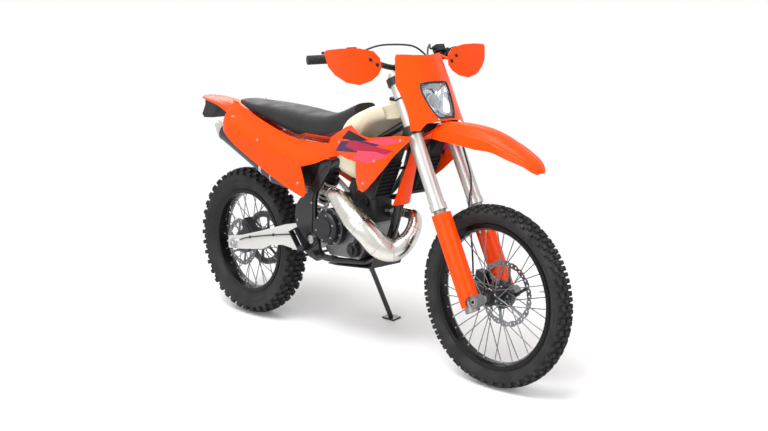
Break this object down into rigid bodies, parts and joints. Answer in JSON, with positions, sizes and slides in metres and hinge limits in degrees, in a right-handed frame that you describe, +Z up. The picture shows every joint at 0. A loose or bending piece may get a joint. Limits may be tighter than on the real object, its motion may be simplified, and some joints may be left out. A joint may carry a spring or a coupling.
{
  "type": "enduro motorcycle",
  "caption": "Off-road motorcycle with spoked wheels, expansion chamber exhaust, steering fork, turning wheels and folding side stand, parked on its stand.",
  "frame": {"origin": "point on the floor midway between the axles' ends of the wheels' plane, under the parked machine", "axes": "+X forward, +Y to the rider's left, +Z up; the machine leans towards +Y on its side stand"},
  "size_m": [2.179, 0.8697, 1.3131],
  "materials": {
    "tyre": "matt moulded rubber",
    "rim_black": "satin black anodised aluminium rims, bright spokes and hubs",
    "disc_steel": "brushed stainless steel",
    "sprocket_steel": "satin steel",
    "chain_steel": "oiled steel",
    "frame_paint": "satin black powder coat",
    "stand_steel": "black painted steel",
    "cast_alloy": "cast and machined aluminium",
    "dark_alloy": "dark grey painted casting",
    "engine_alloy": "sand cast aluminium",
    "axle_steel": "turned steel",
    "shock": "white coated spring on a silver body",
    "pipe_nickel": "nickel plated steel",
    "muffler_alloy": "brushed aluminium with dark end",
    "tank_plastic": "translucent natural polyethylene",
    "black_plastic": "grained black plastic",
    "guard_plastic": "grained dark grey plastic",
    "orange_plastic": "gloss moulded plastic, orange",
    "graphic_plastic": null,
    "seat_cover": "grained black coated fabric over foam",
    "radiator": "black finned aluminium",
    "fork_tube": "pale anodised aluminium",
    "fork_leg": "polished steel with cast axle lugs",
    "lamp_glass": "clear lens over a reflector",
    "grip_rubber": "ribbed rubber",
    "brake_alloy": "black cast caliper"
  },
  "bodies": {
    "chassis": {"frame": "frame_paint", "subframe": "cast_alloy", "swingarm": "cast_alloy", "pivot_bolt": "axle_steel", "rear_axle": "axle_steel", "rear_shock": "shock", "crankcase": "engine_alloy", "clutch_cover": "dark_alloy", "ignition_cover": "dark_alloy", "cylinder": "engine_alloy", "throttle_body": "black_plastic", "exhaust_pipe": "pipe_nickel", "muffler": "muffler_alloy", "fuel_tank": "tank_plastic", "filler_cap": "black_plastic", "seat": "seat_cover", "airbox": "black_plastic", "radiators": "radiator", "shroud_left": "graphic_plastic", "shroud_right": "graphic_plastic", "side_panel_left": "orange_plastic", "side_panel_right": "orange_plastic", "rear_fender": "orange_plastic", "tail_bracket": "black_plastic", "skid_plate": "black_plastic", "footpegs": "stand_steel", "rear_caliper": "brake_alloy", "chain": "chain_steel", "front_sprocket": "sprocket_steel", "brake_pedal": "stand_steel", "shift_lever": "cast_alloy", "frame_guards": "guard_plastic", "down_tube_cover": "orange_plastic", "chain_guide": "black_plastic"},
    "steering": {"triple_clamps": "dark_alloy", "fork_tubes": "fork_tube", "fork_legs": "fork_leg", "fork_guards": "orange_plastic", "handlebar": "dark_alloy", "grips": "grip_rubber", "levers": "stand_steel", "hand_guards": "orange_plastic", "headlight_mask": "orange_plastic", "headlight": "lamp_glass", "front_fender": "orange_plastic", "front_axle": "axle_steel", "front_caliper": "brake_alloy", "hoses": "grip_rubber", "instrument": "black_plastic"},
    "front_wheel_set": {"front_tyre": "tyre", "front_wheel": "rim_black", "front_disc": "disc_steel"},
    "rear_wheel_set": {"rear_tyre": "tyre", "rear_wheel": "rim_black", "rear_disc": "disc_steel", "rear_sprocket": "sprocket_steel"},
    "stand": {"side_stand": "stand_steel"}
  },
  "joints": [
    {"name": "steering", "type": "hinge", "parent": "chassis", "child": "steering", "pos_m": [0.34322, 0.14439, 1.02837], "axis": [-0.4399, 0.125, 0.8893], "range_deg": [-42, 42]},
    {"name": "front_wheel_spin", "type": "hinge", "parent": "steering", "child": "front_wheel_set", "pos_m": [0.7435, 0.04871, 0.34755], "axis": [0, 0.9903, -0.1392], "continuous": true},
    {"name": "rear_wheel_spin", "type": "hinge", "parent": "chassis", "child": "rear_wheel_set", "pos_m": [-0.7435, 0.0476, 0.33963], "axis": [0, 0.9903, -0.1392], "continuous": true},
    {"name": "side_stand_fold", "type": "hinge", "parent": "chassis", "child": "stand", "pos_m": [-0.124, 0.19016, 0.33373], "axis": [0.1066, 0.9559, 0.2738], "range_deg": [0, 98]}
  ]
}
